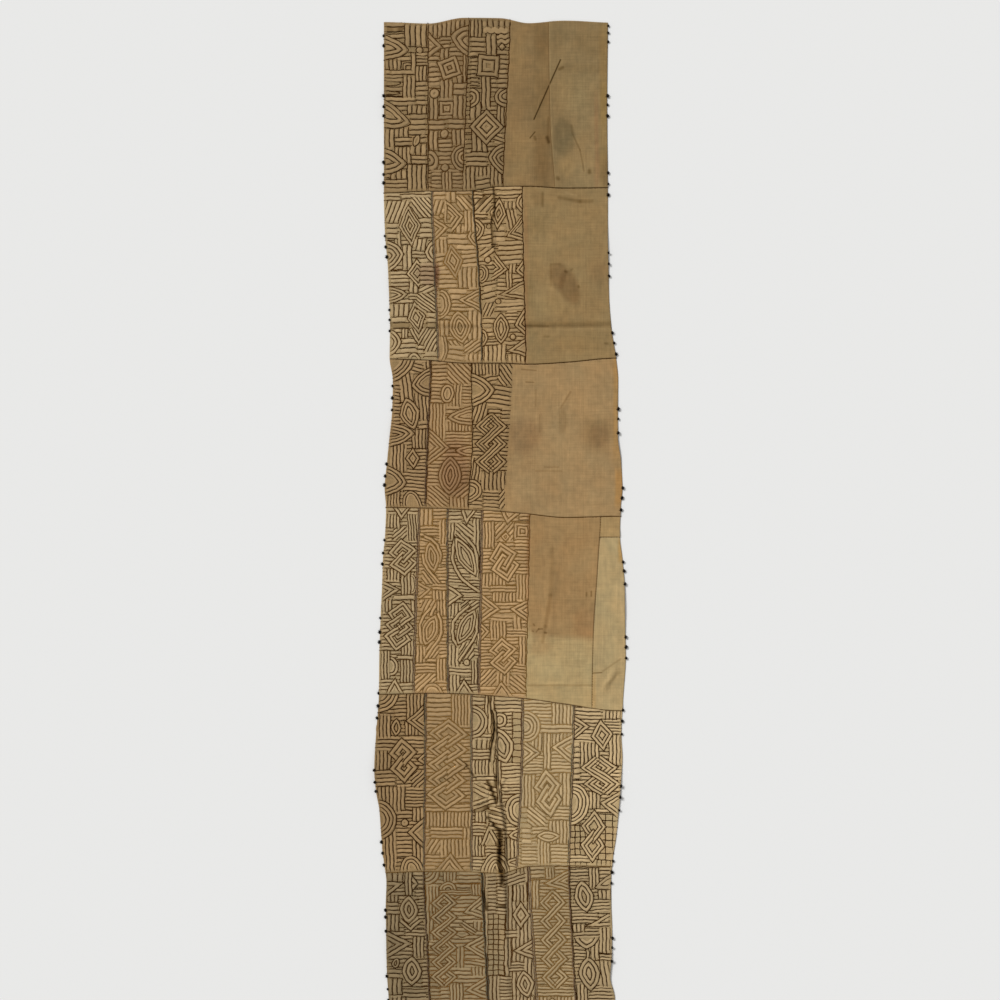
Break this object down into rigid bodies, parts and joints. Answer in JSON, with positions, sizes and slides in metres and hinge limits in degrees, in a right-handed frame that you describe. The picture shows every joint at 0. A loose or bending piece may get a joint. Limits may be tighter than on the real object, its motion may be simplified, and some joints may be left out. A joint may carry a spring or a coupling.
{
  "type": "kuba raffia cloth",
  "caption": "Long raffia wrap cloth of woven panels sewn end to end, with line embroidery and plain parts, lying flat and face up.",
  "frame": {"origin": "centre of the cloth's outline, on the surface that it lies on", "axes": "+Y up the cloth towards the first row of panels, +X to the right with the cloth seen from its face, +Z out of the face"},
  "size_m": [0.7039, 2.879, 0.0156],
  "materials": {
    "panel_1": "worn raffia weave, greyish tan, dark thread",
    "panel_1_side": "worn raffia weave, plain tan with an oval stain",
    "panel_2": "worn raffia weave, tan, dark and light brown thread",
    "panel_3": "worn raffia weave, warm tan, dark and light brown thread",
    "panel_4": "worn raffia weave, warm tan, brown and orange-brown thread",
    "panel_4_side": "pale raffia weave",
    "panel_4_corner": "pale raffia weave",
    "panel_5": "worn raffia weave, tan, dark and light brown thread",
    "panel_6": "worn raffia weave, greyish tan, dark and light brown thread"
  },
  "bodies": {
    "root": {"panel_1": "panel_1", "panel_1_side": "panel_1_side", "panel_2": "panel_2", "panel_3": "panel_3", "panel_4": "panel_4", "panel_4_side": "panel_4_side", "panel_4_corner": "panel_4_corner", "panel_5": "panel_5", "panel_6": "panel_6"}
  },
  "joints": []
}
